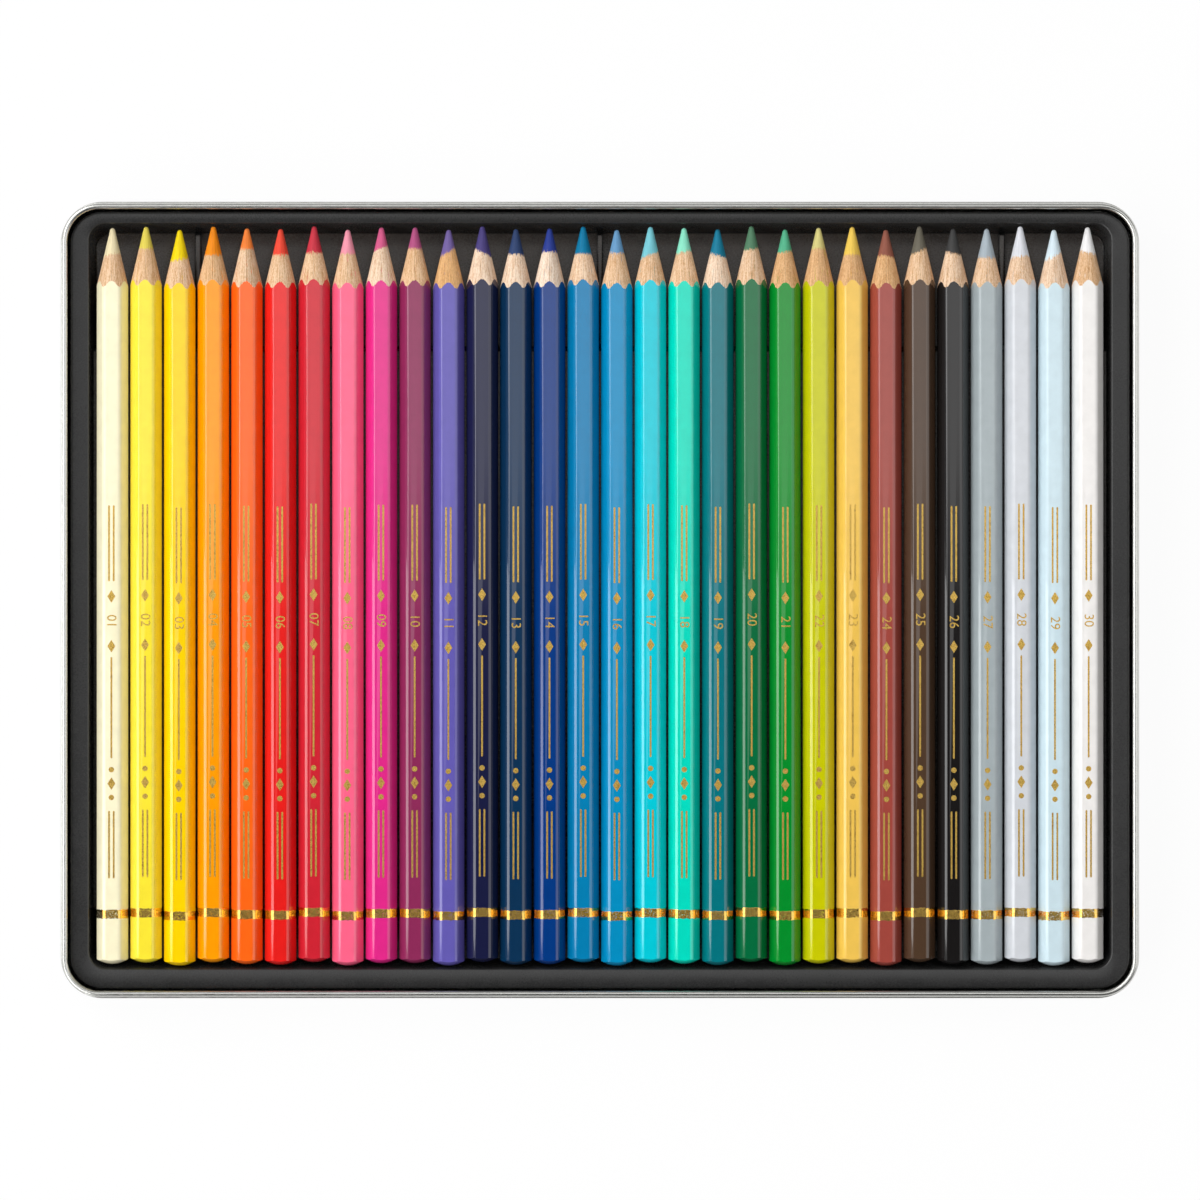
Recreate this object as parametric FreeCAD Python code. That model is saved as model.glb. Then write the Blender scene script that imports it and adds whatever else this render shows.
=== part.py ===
"""A flat metal box of thirty coloured pencils, lying open in its own upturned lid.

Millimetres. X runs along the row of pencils, +Y towards their points, +Z up.
The origin is the middle of the underside.
"""
import FreeCAD, Part
import math
import os

Vector = FreeCAD.Vector

# Pencils
pencil_colours = [
    "ivory", "lemon", "yellow", "amber", "orange",
    "scarlet", "crimson", "pink", "magenta", "plum",
    "violet", "indigo", "night_blue", "ultramarine", "cerulean",
    "sky_blue", "turquoise", "mint", "teal", "forest_green",
    "green", "lime", "ochre", "russet", "umber",
    "black", "grey", "silver_grey", "ice_blue", "white",
]
pencil_length = 175.0
pencil_across_flats = 6.9
pencil_edge_radius = 1.2
pencil_butt_dome = 1.2
lead_diameter = 3.8
lead_tip_radius = 0.6
lead_end_cover = 1.2
lead_glue_gap = 0.02
sharpened_half_angle = 13.3

# How the row lies in the tray
pencil_gap = 0.4
row_side_gap = 1.27
row_end_gap = 1.1
lay_play = 0.45
lay_step = 2.4

# Tray
tray_sheet = 0.5
platform_height = 5.2
flange_above_platform = 5.0
side_wall_draft = 5.0
end_wall_draft = 10.0
well_corner_radius = 4.0
lip_radius = 0.45
side_flange = 4.5
point_flange = 2.8
butt_flange = 4.7
flange_bend = 0.7
point_trough = 30.0
butt_trough = 14.2
rib_width = 1.5
rib_height = 3.0
rib_count = 3
pencils_between_ribs = 12

# Tin
tin_sheet = 0.3
tin_corner_radius = 9.0
tin_floor_bend = 1.5
rim_roll_diameter = 1.4
rim_above_pencils = 1.6
tray_side_gap = 0.3
tray_end_gap = 0.3

# Lid
lid_sheet = 0.3
lid_skirt = 6.0
lid_hem = 2.0
lid_bend = 1.2
lid_clearance = 0.3

# Sizes that follow from those above, and turns in degrees
quarter_turn = 90.0
pencil_count = len(pencil_colours)
hexagon_side_angle = math.radians(30.0)
pencil_apothem = pencil_across_flats / 2
edge_centre = (pencil_apothem - pencil_edge_radius) / math.cos(hexagon_side_angle)
pencil_across_edges = 2 * (edge_centre + pencil_edge_radius)
pencil_pitch = pencil_across_edges + pencil_gap
row_width = (pencil_count - 1) * pencil_pitch + pencil_across_edges
cone_angle = math.radians(sharpened_half_angle)
butt_sphere_radius = (pencil_across_edges ** 2 / 4 + pencil_butt_dome ** 2) / (2 * pencil_butt_dome)

lid_floor_top = lid_sheet
tin_floor_top = lid_floor_top + tin_sheet
tray_floor_top = tin_floor_top + tray_sheet
platform_top = tin_floor_top + platform_height
flange_top = platform_top + flange_above_platform
pencil_axis_height = platform_top + pencil_apothem
rim_top = platform_top + pencil_across_flats + rim_above_pencils

side_slope = math.tan(math.radians(side_wall_draft))
end_slope = math.tan(math.radians(end_wall_draft))
well_length = row_width + 2 * row_side_gap + 2 * flange_above_platform * side_slope
well_width = pencil_length + 2 * row_end_gap
tray_length = well_length + 2 * side_flange
tray_width = well_width + point_flange + butt_flange
well_middle = (butt_flange - point_flange) / 2
well_point_end = well_middle + well_width / 2
well_butt_end = well_middle - well_width / 2
platform_point_end = well_point_end - point_trough
platform_butt_end = well_butt_end + butt_trough
thickest_lip = 0.95 * tray_sheet

tin_length = tray_length + 2 * (tray_side_gap + rim_roll_diameter)
tin_width = tray_width + 2 * (tray_end_gap + rim_roll_diameter)
flange_corner_radius = tin_corner_radius - rim_roll_diameter
lid_overhang = lid_clearance + 2 * lid_sheet
lid_top = lid_floor_top + lid_skirt
rim_roll_radius = rim_roll_diameter / 2


def rounded_rectangle(length, width, radius, height, middle=0.0):
    """A closed wire: a rectangle with round corners, level at the given height."""
    right = length / 2
    back = middle + width / 2
    front = middle - width / 2
    edges = []
    corners = [
        (right - radius, back - radius),
        (radius - right, back - radius),
        (radius - right, front + radius),
        (right - radius, front + radius),
    ]
    arcs = []
    for quarter, (x, y) in enumerate(corners):
        centre = Vector(x, y, height)
        points = []
        for turns in (quarter, quarter + 0.5, quarter + 1):
            angle = math.radians(turns * quarter_turn)
            points.append(centre + Vector(radius * math.cos(angle), radius * math.sin(angle), 0))
        arcs.append(points)
    for number, points in enumerate(arcs):
        following = arcs[(number + 1) % len(arcs)]
        edges.append(Part.Arc(*points).toShape())
        edges.append(Part.LineSegment(points[2], following[0]).toShape())
    return Part.Wire(edges)


def plate(length, width, radius, bottom, top):
    """A flat plate with round corners."""
    outline = rounded_rectangle(length, width, radius, bottom)
    return Part.Face(outline).extrude(Vector(0, 0, top - bottom))


def run_around(profile, length, width, radius):
    """Carry an upright section, drawn with x = 0 at the outer wall, round a rounded rectangle."""
    pieces = []
    for quarter in range(4):
        run, depth = (length, width) if quarter % 2 == 0 else (width, length)
        section = profile.copy()
        section.translate(Vector(run / 2, radius - depth / 2, 0))
        side = section.extrude(Vector(0, depth - 2 * radius, 0))
        section.translate(Vector(0, depth - 2 * radius, 0))
        corner_axis = Vector(run / 2 - radius, depth / 2 - radius, 0)
        corner = section.revolve(corner_axis, Vector(0, 0, 1), quarter_turn)
        for piece in (side, corner):
            piece.rotate(Vector(), Vector(0, 0, 1), quarter * quarter_turn)
            pieces.append(piece)
    return pieces


def fused(pieces):
    """One clean solid from pieces that meet face to face."""
    whole = pieces[0].multiFuse(pieces[1:]).removeSplitter()
    return whole.Solids[0]


def quarter_bend(level, bend, sheet, upwards):
    """A sheet's bend from flat to upright: its outer arc and its inner arc, both drawn outwards."""
    turn = 1 if upwards else -1
    centre = Vector(-bend, 0, level + turn * bend)
    arcs = []
    for radius in (bend, bend - sheet):
        slant = radius * math.sqrt(0.5)
        start = centre + Vector(0, 0, -turn * radius)
        middle = centre + Vector(slant, 0, -turn * slant)
        end = centre + Vector(radius, 0, 0)
        arcs.append((start, middle, end))
    return arcs


def outline_face(steps):
    """A face inside a chain of lines (two points) and arcs (three points)."""
    edges = []
    for points in steps:
        kind = Part.LineSegment if len(points) == 2 else Part.Arc
        edges.append(kind(*points).toShape())
    return Part.Face(Part.Wire(edges))


def lid():
    """The slip lid, upturned: a flat panel, a short skirt and a hem folded in at its edge."""
    length = tin_length + 2 * lid_overhang
    width = tin_width + 2 * lid_overhang
    corner = tin_corner_radius + lid_overhang
    outer, inner = quarter_bend(0, lid_bend, lid_sheet, True)
    fold_start = Vector(0, 0, lid_top - lid_sheet)
    fold_middle = Vector(-lid_sheet, 0, lid_top)
    fold_end = Vector(-2 * lid_sheet, 0, lid_top - lid_sheet)
    hem_foot = Vector(-2 * lid_sheet, 0, lid_top - lid_hem)
    hem_root = Vector(-lid_sheet, 0, lid_top - lid_hem)
    skirt = outline_face([
        outer,
        (outer[2], fold_start),
        (fold_start, fold_middle, fold_end),
        (fold_end, hem_foot),
        (hem_foot, hem_root),
        (hem_root, inner[2]),
        (inner[2], inner[1], inner[0]),
        (inner[0], outer[0]),
    ])
    panel = plate(length - 2 * lid_bend, width - 2 * lid_bend, corner - lid_bend, 0, lid_floor_top)
    return fused([panel] + run_around(skirt, length, width, corner))


def tin_base():
    """The drawn pan: a flat floor, an upright wall and a rim rolled inwards."""
    outer, inner = quarter_bend(lid_floor_top, tin_floor_bend, tin_sheet, True)
    roll_centre = Vector(-rim_roll_radius, 0, rim_top - rim_roll_radius)
    quarter_turns = [Vector(1, 0, 0), Vector(0, 0, 1), Vector(-1, 0, 0), Vector(0, 0, -1)]
    outside = [roll_centre + turn * rim_roll_radius for turn in quarter_turns]
    inside = [roll_centre + turn * (rim_roll_radius - tin_sheet) for turn in quarter_turns]
    inwards_and_down = Vector(-1, 0, -1).normalize()
    wall = outline_face([
        outer,
        (outer[2], outside[0]),
        (outside[0], outside[1], outside[2]),
        (outside[2], roll_centre + inwards_and_down * rim_roll_radius, outside[3]),
        (outside[3], inside[3]),
        (inside[3], roll_centre + inwards_and_down * (rim_roll_radius - tin_sheet), inside[2]),
        (inside[2], inside[1], inside[0]),
        (inside[0], inner[2]),
        (inner[2], inner[1], inner[0]),
        (inner[0], outer[0]),
    ])
    floor = plate(
        tin_length - 2 * tin_floor_bend,
        tin_width - 2 * tin_floor_bend,
        tin_corner_radius - tin_floor_bend,
        lid_floor_top,
        tin_floor_top,
    )
    return fused([floor] + run_around(wall, tin_length, tin_width, tin_corner_radius))


def well(bottom, thickness):
    """The drafted hollow of the tray from the given height up, grown outwards by a thickness."""
    wires = []
    for height in (bottom, flange_top):
        depth = flange_top - height
        length = well_length - 2 * depth * side_slope + 2 * thickness
        width = well_width - 2 * depth * end_slope + 2 * thickness
        wires.append(rounded_rectangle(length, width, well_corner_radius + thickness, height, well_middle))
    return Part.makeLoft(wires, True, True)


def platform(bottom, top, shrink):
    """A bar across the tray under the pencils, with drafted ends."""
    spread = (platform_top - bottom) * end_slope
    inset = (platform_top - top) * end_slope
    corners = [
        Vector(-tin_length / 2, platform_butt_end - spread + shrink, bottom),
        Vector(-tin_length / 2, platform_point_end + spread - shrink, bottom),
        Vector(-tin_length / 2, platform_point_end + inset - shrink, top),
        Vector(-tin_length / 2, platform_butt_end - inset + shrink, top),
    ]
    outline = Part.makePolygon(corners + corners[:1])
    return Part.Face(outline).extrude(Vector(tin_length, 0, 0))


def trough_ribs():
    """The low stiffening ribs that cross the trough under the points."""
    ribs = []
    for number in range(rib_count):
        middle = (number - (rib_count - 1) / 2) * pencils_between_ribs * pencil_pitch
        corner = Vector(middle - rib_width / 2, platform_point_end, tin_floor_top)
        ribs.append(Part.makeBox(rib_width, point_trough, tray_sheet + rib_height, corner))
    return ribs


def flange():
    """The tray's level flange, its outer edge bent down."""
    outer, inner = quarter_bend(flange_top, flange_bend, tray_sheet, False)
    edge = outline_face([
        outer,
        (outer[2], inner[2]),
        (inner[2], inner[1], inner[0]),
        (inner[0], outer[0]),
    ])
    level = plate(
        tray_length - 2 * flange_bend,
        tray_width - 2 * flange_bend,
        flange_corner_radius - flange_bend,
        flange_top - tray_sheet,
        flange_top,
    )
    return fused([level] + run_around(edge, tray_length, tray_width, flange_corner_radius))


def pencil_tray():
    """The moulded insert: flange, drafted well, hollow platform and ribs, all of one sheet."""
    bowl = well(tin_floor_top, tray_sheet)
    shell = flange().fuse(bowl).cut(well(tray_floor_top, 0))
    raised = [platform(tin_floor_top, platform_top, 0)] + trough_ribs()
    for block in raised:
        shell = shell.fuse(block.common(bowl))
    underside = platform(lid_floor_top, platform_top - tray_sheet, tray_sheet)
    shell = shell.cut(underside).removeSplitter()
    lip = [edge for edge in shell.Edges if lies_on_lip(edge)]
    return shell.makeFillet(min(lip_radius, thickest_lip), lip).Solids[0]


def lies_on_lip(edge):
    """True for an edge round the mouth of the well."""
    box = edge.BoundBox
    level = box.ZMin > flange_top - tray_sheet / 2
    within_x = max(-box.XMin, box.XMax) < (well_length + side_flange) / 2
    within_y = box.YMin > well_butt_end - butt_flange / 2 and box.YMax < well_point_end + point_flange / 2
    return level and within_x and within_y


def hexagon():
    """A pencil's section round its axis: a hexagon lying on a flat, with rounded edges."""
    arcs = []
    for corner in range(6):
        out = 2 * corner * hexagon_side_angle
        centre = Vector(math.cos(out), 0, math.sin(out)) * edge_centre
        points = []
        for angle in (out - hexagon_side_angle, out, out + hexagon_side_angle):
            points.append(centre + Vector(math.cos(angle), 0, math.sin(angle)) * pencil_edge_radius)
        arcs.append(points)
    steps = []
    for number, points in enumerate(arcs):
        steps.append(points)
        steps.append((points[2], arcs[(number + 1) % len(arcs)][0]))
    return outline_face(steps)


def turned(steps):
    """A solid of revolution about a pencil's axis from points given as (radius, distance from butt)."""
    section = []
    for points in steps:
        section.append([Vector(radius, along, 0) for radius, along in points])
    return outline_face(section).revolve(Vector(), Vector(0, 1, 0), 360)


def cone_reach(radius):
    """How far from the butt the sharpened cone has the given radius."""
    blunting = lead_tip_radius / math.sin(cone_angle) - lead_tip_radius
    return pencil_length + blunting - radius / math.tan(cone_angle)


def butt_reach(radius):
    """How far the domed butt end falls back at the given radius."""
    return butt_sphere_radius - math.sqrt(butt_sphere_radius ** 2 - radius ** 2)


def lead():
    """The round lead, with its sharpened and slightly blunted point."""
    radius = lead_diameter / 2
    tip_centre = pencil_length - lead_tip_radius
    cone_end = (
        lead_tip_radius * math.cos(cone_angle),
        tip_centre + lead_tip_radius * math.sin(cone_angle),
    )
    half_way = (math.pi / 2 + cone_angle) / 2
    tip_middle = (
        lead_tip_radius * math.cos(half_way),
        tip_centre + lead_tip_radius * math.sin(half_way),
    )
    return turned([
        ((0, lead_end_cover), (radius, lead_end_cover)),
        ((radius, lead_end_cover), (radius, cone_reach(radius))),
        ((radius, cone_reach(radius)), cone_end),
        (cone_end, tip_middle, (0, pencil_length)),
        ((0, pencil_length), (0, lead_end_cover)),
    ])


def slats():
    """The two grooved wooden halves of a pencil, glued together beside its lead."""
    outside = pencil_pitch / 2
    middle = outside / 2
    blank = hexagon().extrude(Vector(0, pencil_length, 0))
    shape = turned([
        ((0, 0), (middle, butt_reach(middle)), (outside, butt_reach(outside))),
        ((outside, butt_reach(outside)), (outside, cone_reach(outside))),
        ((outside, cone_reach(outside)), (0, cone_reach(0))),
        ((0, cone_reach(0)), (0, 0)),
    ])
    bore_start = Vector(0, lead_end_cover, 0)
    bore = Part.makeCylinder(lead_diameter / 2 + lead_glue_gap, pencil_length, bore_start, Vector(0, 1, 0))
    casing = blank.common(shape).cut(bore)
    halves = []
    for side in (-outside, 0):
        half = Part.makeBox(outside, pencil_length, 2 * outside, Vector(side, 0, -outside))
        halves.append(casing.common(half).Solids[0])
    return halves


def pencil_place(number):
    """Where a pencil's butt end lies in the row, a little forward or back of its neighbours."""
    across = (number - (pencil_count - 1) / 2) * pencil_pitch
    lay = lay_play * math.sin(lay_step * number)
    return Vector(across, well_butt_end + row_end_gap + lay, pencil_axis_height)


def nodes():
    """Each sub-part by its name."""
    named = {"lid": lid(), "tin_base": tin_base(), "pencil_tray": pencil_tray()}
    pencil = Part.makeCompound(slats() + [lead()])
    for number, colour in enumerate(pencil_colours):
        named[f"pencil_{number + 1:02d}_{colour}"] = pencil.translated(pencil_place(number))
    return named


os.makedirs("parts", exist_ok=True)
for name, shape in nodes().items():
    shape.exportStep(f"parts/{name}.step")
    box = shape.BoundBox
    print(name, len(shape.Solids), shape.isValid(), round(shape.Volume, 1), box)
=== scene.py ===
"""A flat metal box of thirty coloured pencils: bare tinplate, a moulded tray and lacquered pencils."""
import math
import random

import bmesh
import bpy
from bpy.props import FloatProperty, FloatVectorProperty, PointerProperty
from bpy.types import Operator, Panel, PropertyGroup
from mathutils import Matrix, Vector


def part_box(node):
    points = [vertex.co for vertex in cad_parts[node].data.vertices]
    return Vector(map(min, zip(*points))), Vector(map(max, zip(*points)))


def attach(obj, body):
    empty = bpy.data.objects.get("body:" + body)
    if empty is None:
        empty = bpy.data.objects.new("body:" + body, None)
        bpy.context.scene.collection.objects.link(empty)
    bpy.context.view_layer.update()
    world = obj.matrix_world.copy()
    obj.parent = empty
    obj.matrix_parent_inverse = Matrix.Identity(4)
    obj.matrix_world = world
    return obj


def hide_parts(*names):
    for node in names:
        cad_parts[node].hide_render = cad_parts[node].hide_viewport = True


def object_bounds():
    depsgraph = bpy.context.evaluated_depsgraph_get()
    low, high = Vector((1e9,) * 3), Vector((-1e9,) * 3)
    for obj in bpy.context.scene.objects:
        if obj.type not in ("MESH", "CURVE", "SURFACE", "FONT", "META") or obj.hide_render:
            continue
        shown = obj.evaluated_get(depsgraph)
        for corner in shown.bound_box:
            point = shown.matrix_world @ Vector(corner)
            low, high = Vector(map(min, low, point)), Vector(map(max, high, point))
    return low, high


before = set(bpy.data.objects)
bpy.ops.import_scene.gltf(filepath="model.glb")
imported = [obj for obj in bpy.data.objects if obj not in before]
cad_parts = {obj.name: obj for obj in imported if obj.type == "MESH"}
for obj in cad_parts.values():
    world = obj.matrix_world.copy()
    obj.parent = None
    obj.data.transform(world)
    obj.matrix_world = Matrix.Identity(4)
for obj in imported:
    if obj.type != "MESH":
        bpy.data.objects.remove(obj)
CAD_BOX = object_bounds()

bl_info = {
    "name": "Coloured pencil box",
    "version": (1, 0, 0),
    "blender": (4, 5, 0),
    "location": "View3D > Sidebar > Pencil Box",
    "description": "Models and finishes a flat tin with a tray and a row of coloured pencils",
    "category": "Object",
}

MM = 0.001
# Places nearer than NEAR count as one, and a face counts as level when its normal rises above LEVEL.
NEAR = 0.01 * MM
LEVEL = 0.9
SMOOTH_DEGREES = 35
DOME_RINGS = 9
TIP_RINGS = 6
CORNER_STEPS = 14
TURNED_SIDES = 56
PENCIL_FIELD = "pencil_place"

# Colour name, lacquer, lead, how far the lead lies off the middle (mm to the right), how much wider
# the lead bares (mm), how bright the right-hand slat is beside the left one and how pale the wood is.
PENCILS = (
    ("ivory", "FAF2CD", "EDDEB4", -0.10, 0.10, 1.00, 0.4),
    ("lemon", "FAE437", "E1CF55", 0.00, -0.20, 0.98, 0.3),
    ("yellow", "FFD200", "F5D505", -0.10, 0.30, 1.02, 0.4),
    ("amber", "FF9B00", "F08A10", 0.00, 0.15, 0.97, 0.2),
    ("orange", "FF6614", "F58237", 0.00, -0.30, 0.86, 0.5),
    ("scarlet", "E61E1B", "EE4B37", 0.00, 0.00, 1.00, 0.4),
    ("crimson", "CD2332", "C83545", 0.00, 0.05, 1.03, 0.4),
    ("pink", "FD6489", "F096AA", 0.00, -0.05, 0.98, 0.4),
    ("magenta", "E12887", "D25A87", -0.15, -0.20, 1.00, 0.7),
    ("plum", "8C2A57", "B45282", 0.00, -0.20, 1.02, 0.3),
    ("violet", "635AAF", "73619F", -0.25, -0.20, 1.10, 0.0),
    ("indigo", "171A3E", "4B417D", 0.25, 0.05, 1.00, 0.8),
    ("night_blue", "083052", "2E426C", 0.05, 0.00, 1.00, 0.8),
    ("ultramarine", "003780", "283C91", 0.00, -0.05, 0.86, 1.0),
    ("cerulean", "007DB0", "0078A3", 0.00, 0.15, 1.00, 0.6),
    ("sky_blue", "008CBE", "689BC5", 0.00, -0.15, 0.98, 0.4),
    ("turquoise", "00C8D7", "78C8D4", -0.20, 0.15, 1.02, 0.4),
    ("mint", "00DABE", "8CE6C8", -0.10, -0.05, 1.12, 0.4),
    ("teal", "00737D", "147A98", 0.15, 0.05, 1.00, 0.8),
    ("forest_green", "006B3C", "558264", -0.05, -0.15, 0.98, 0.5),
    ("green", "008C2A", "55B28A", -0.05, -0.15, 1.02, 0.1),
    ("lime", "C8C800", "D7CD82", 0.00, -0.20, 1.00, 0.1),
    ("ochre", "F0C355", "F5CC58", 0.00, 0.15, 0.97, 0.1),
    ("russet", "A0463C", "935848", 0.05, 0.10, 1.02, 0.1),
    ("umber", "4E3929", "6C675A", -0.20, -0.05, 1.00, 0.4),
    ("black", "171515", "414141", 0.10, -0.05, 0.97, 0.6),
    ("grey", "A5AFB2", "A9B5BD", 0.00, 0.20, 1.00, 0.5),
    ("silver_grey", "D2D5DA", "E1E3E9", -0.05, 0.35, 1.02, 0.6),
    ("ice_blue", "CDE2EA", "DAEBF8", -0.25, 0.05, 0.98, 0.7),
    ("white", "F0EDEA", "F5F3F1", 0.10, 0.00, 1.00, 0.3),
)

# Foil marks on a pencil's top face: kind, middle as distance from the point, length along the pencil (mm).
FOIL_MARKS = (
    ("rules", 75.0, 18.0),
    ("diamond", 87.6, 3.0),
    ("number", 93.5, 4.0),
    ("diamond", 99.4, 3.0),
    ("rule", 114.0, 24.0),
    ("dot", 128.7, 1.3),
    ("diamond", 132.0, 3.0),
    ("dot", 135.3, 1.3),
    ("rules", 146.5, 16.0),
)

# Studio lamps: name, the setting for its brightness, size and place (m).
LAMPS = (
    ("key_over_points", "key", (1.4, 1.1), (-1.15, 1.0, 1.2)),
    ("key_over_butts", "key", (1.4, 1.1), (-1.15, -1.0, 1.2)),
    ("edge_strip", "strip", (0.36, 1.8), (-1.3, 0.0, 1.1)),
    ("fill_panel", "fill", (0.8, 1.3), (0.95, 0.0, 0.85)),
)


def linear(code):
    """A colour written as six hexadecimal figures, as linear values."""
    shades = [int(code[start:start + 2], 16) / 255 for start in (0, 2, 4)]
    return [shade / 12.92 if shade <= 0.04045 else ((shade + 0.055) / 1.055) ** 2.4 for shade in shades]


def length(name, description, millimetres):
    """A length that a user can set."""
    default = millimetres * MM
    return FloatProperty(name=name, description=description, default=default, unit="LENGTH", precision=5)


def turn(name, description, degrees):
    """An angle that a user can set."""
    return FloatProperty(name=name, description=description, default=math.radians(degrees), unit="ROTATION")


def tint(name, description, code):
    """A colour that a user can set."""
    shades = linear(code)
    return FloatVectorProperty(
        name=name, description=description, subtype="COLOR", size=3, default=shades, min=0, max=1
    )


def lamp_level(name, description, level):
    """How bright a lamp's face is."""
    return FloatProperty(name=name, description=description, default=level, min=0)


class TinSizes(PropertyGroup):
    """Sizes of the tin and its slip lid that the outside does not give."""

    sheet: length("Sheet", "Thickness of the tinplate", 0.3)
    tin_corner: length("Tin corner", "Outside corner radius of the tin", 9.0)
    tin_bend: length("Tin bend", "Radius between the tin's floor and wall", 1.5)
    rim_roll: length("Rim roll", "Diameter of the rolled rim", 1.4)
    lid_corner: length("Lid corner", "Outside corner radius of the lid", 9.9)
    lid_bend: length("Lid bend", "Radius between the lid's panel and skirt", 1.2)
    lid_hem: length("Lid hem", "Height of the hem folded in at the lid's edge", 2.0)


class TraySizes(PropertyGroup):
    """Sizes of the moulded tray."""

    sheet: length("Sheet", "Thickness of the moulded sheet", 0.5)
    flange_corner: length("Flange corner", "Corner radius of the flange", 7.6)
    side_flange: length("Side flange", "Width of the flange beside the row", 4.5)
    point_flange: length("Point flange", "Width of the flange past the points", 2.8)
    butt_flange: length("Butt flange", "Width of the flange past the butt ends", 4.7)
    flange_bend: length("Flange bend", "Radius of the flange's edge where it bends down", 0.7)
    well_corner: length("Well corner", "Corner radius of the well's mouth", 4.0)
    platform_drop: length("Platform drop", "Depth of the platform below the flange", 5.0)
    point_trough: length("Point trough", "Length of the trough under the points", 30.0)
    butt_trough: length("Butt trough", "Length of the trough under the butt ends", 14.2)
    lip: length("Lip", "Radius on the moulding's edges", 0.42)
    rib_width: length("Rib width", "Width of a rib in the point trough", 1.5)
    rib_height: length("Rib height", "Height of a rib in the point trough", 3.0)
    rib_spacing: length("Rib spacing", "Distance between the ribs", 95.95)
    side_draft: turn("Side draft", "Slope of the well's side walls", 5)
    end_draft: turn("End draft", "Slope of the well's end walls", 10)


class PencilSizes(PropertyGroup):
    """Sizes of one pencil that its box does not give."""

    edge_radius: length("Edge radius", "Rounding of the six long edges", 1.2)
    butt_dome: length("Butt dome", "Height of the domed butt end", 1.2)
    lead_diameter: length("Lead diameter", "Thickness of the lead", 3.8)
    tip_radius: length("Tip radius", "Rounding of the sharpened tip", 0.6)
    half_angle: turn("Sharpened half angle", "Half the angle of the sharpened cone", 13.3)
    ring_middle: length("Foil ring", "Distance of the foil ring from the butt end", 12.0)
    ring_width: length("Foil ring width", "Width of the foil ring", 2.1)
    mark_depth: length("Mark thickness", "How far the foil marks stand on the lacquer", 0.02)
    figure_height: length("Figure size", "Type size of the number on each pencil", 3.2)
    rule_width: length("Rule width", "Width of a fine foil line", 0.42)


class FinishColours(PropertyGroup):
    """Colours of everything but the lacquers and leads."""

    tinplate: tint("Tinplate", "Bare tinplate", "D2D2CE")
    tray: tint("Tray plastic", "Black moulded plastic", "2B2B2B")
    foil: tint("Foil", "Gold foil", "F2C968")
    foil_deep: tint("Deep foil", "Gold foil where it has thinned", "B47F32")
    cedar: tint("Cedar", "Warm pencil wood", "E6B882")
    cedar_pale: tint("Pale cedar", "The palest pencil wood", "FCEBD9")
    cedar_deep: tint("Deep cedar", "Darker grain of the pencil wood", "BF8B55")
    # Partly pencil dust and partly painted light: the pale colour laid on the tray's deep, shaded floor.
    dust_and_painted_light: tint("Dust", "Pencil dust in the bottom of the tray", "73655A")
    floor: tint("Floor", "Plain pale floor", "F2F2F2")


class PencilColours(PropertyGroup):
    """One lacquer and one lead colour for each pencil."""


def pencil_colour_fields():
    """The colour properties of all the pencils."""
    fields = {}
    for colour, lacquer, lead, *rest in PENCILS:
        title = colour.replace("_", " ").capitalize()
        pencil = f"of the {title} pencil"
        fields["lacquer_" + colour] = tint(title + " lacquer", "Lacquer " + pencil, lacquer)
        fields["lead_" + colour] = tint(title + " lead", "Lead " + pencil, lead)
    return fields


PencilColours.__annotations__ = pencil_colour_fields()


class StudioSettings(PropertyGroup):
    """Camera and soft studio light."""

    camera_height: length("Camera height", "Height of the camera over the rim", 1400.0)
    view_width: length("View width", "Width of the picture at the rim", 284.4)
    key: lamp_level("Key", "Brightness of the two panels on the left", 3.7)
    strip: lamp_level("Strip", "Brightness of the narrow strip on the left", 3.6)
    fill: lamp_level("Fill", "Brightness of the panel on the right", 1.2)
    sheen: lamp_level("Sheen", "Brightness of the sky over the points", 1.25)
    ceiling: lamp_level("Ceiling", "Brightness straight overhead", 0.03)
    horizon: lamp_level("Horizon", "Brightness at the horizon", 0.4)


class PencilBoxSettings(PropertyGroup):
    """Everything that a user can change on the pencil box."""

    tin: PointerProperty(type=TinSizes, name="Tin", description="Sizes of the tin and its lid")
    tray: PointerProperty(type=TraySizes, name="Tray", description="Sizes of the tray")
    pencils: PointerProperty(type=PencilSizes, name="Pencils", description="Sizes of a pencil")
    finishes: PointerProperty(type=FinishColours, name="Finishes", description="Colours of the finishes")
    colours: PointerProperty(type=PencilColours, name="Colours", description="Colours of the pencils")
    studio: PointerProperty(type=StudioSettings, name="Studio", description="Camera and light")


# Modelling by hand


def only(*pieces):
    """Leaves edit mode, selects these objects alone and makes the first one active."""
    if bpy.context.mode != "OBJECT":
        bpy.ops.object.mode_set(mode="OBJECT")
    bpy.ops.object.select_all(action="DESELECT")
    for piece in pieces:
        piece.select_set(True)
    if pieces:
        bpy.context.view_layer.objects.active = pieces[0]


def named(name):
    """Names the primitive just added and moves its place and size into its mesh."""
    piece = bpy.context.object
    piece.name = name
    piece.data.name = name
    bpy.ops.object.transform_apply(location=True, rotation=True, scale=True)
    return piece


def edit(piece, kind, chosen):
    """Enters edit mode with only those faces, edges or vertices selected that the test picks."""
    only(piece)
    bpy.ops.object.mode_set(mode="EDIT")
    bpy.ops.mesh.select_mode(type={"faces": "FACE", "edges": "EDGE", "verts": "VERT"}[kind])
    bpy.ops.mesh.select_all(action="DESELECT")
    mesh = bmesh.from_edit_mesh(piece.data)
    for element in getattr(mesh, kind):
        element.select_set(bool(chosen(element)))
    mesh.select_flush_mode()
    bmesh.update_edit_mesh(piece.data)


def edit_all(piece, kind="faces"):
    """Enters edit mode with everything selected."""
    edit(piece, kind, lambda element: True)


def round_off(radius, steps, kind="EDGES"):
    """Rounds the selected edges, or the corners of a flat face."""
    bpy.ops.mesh.bevel(affect=kind, offset=radius, segments=steps, profile=0.5)


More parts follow.
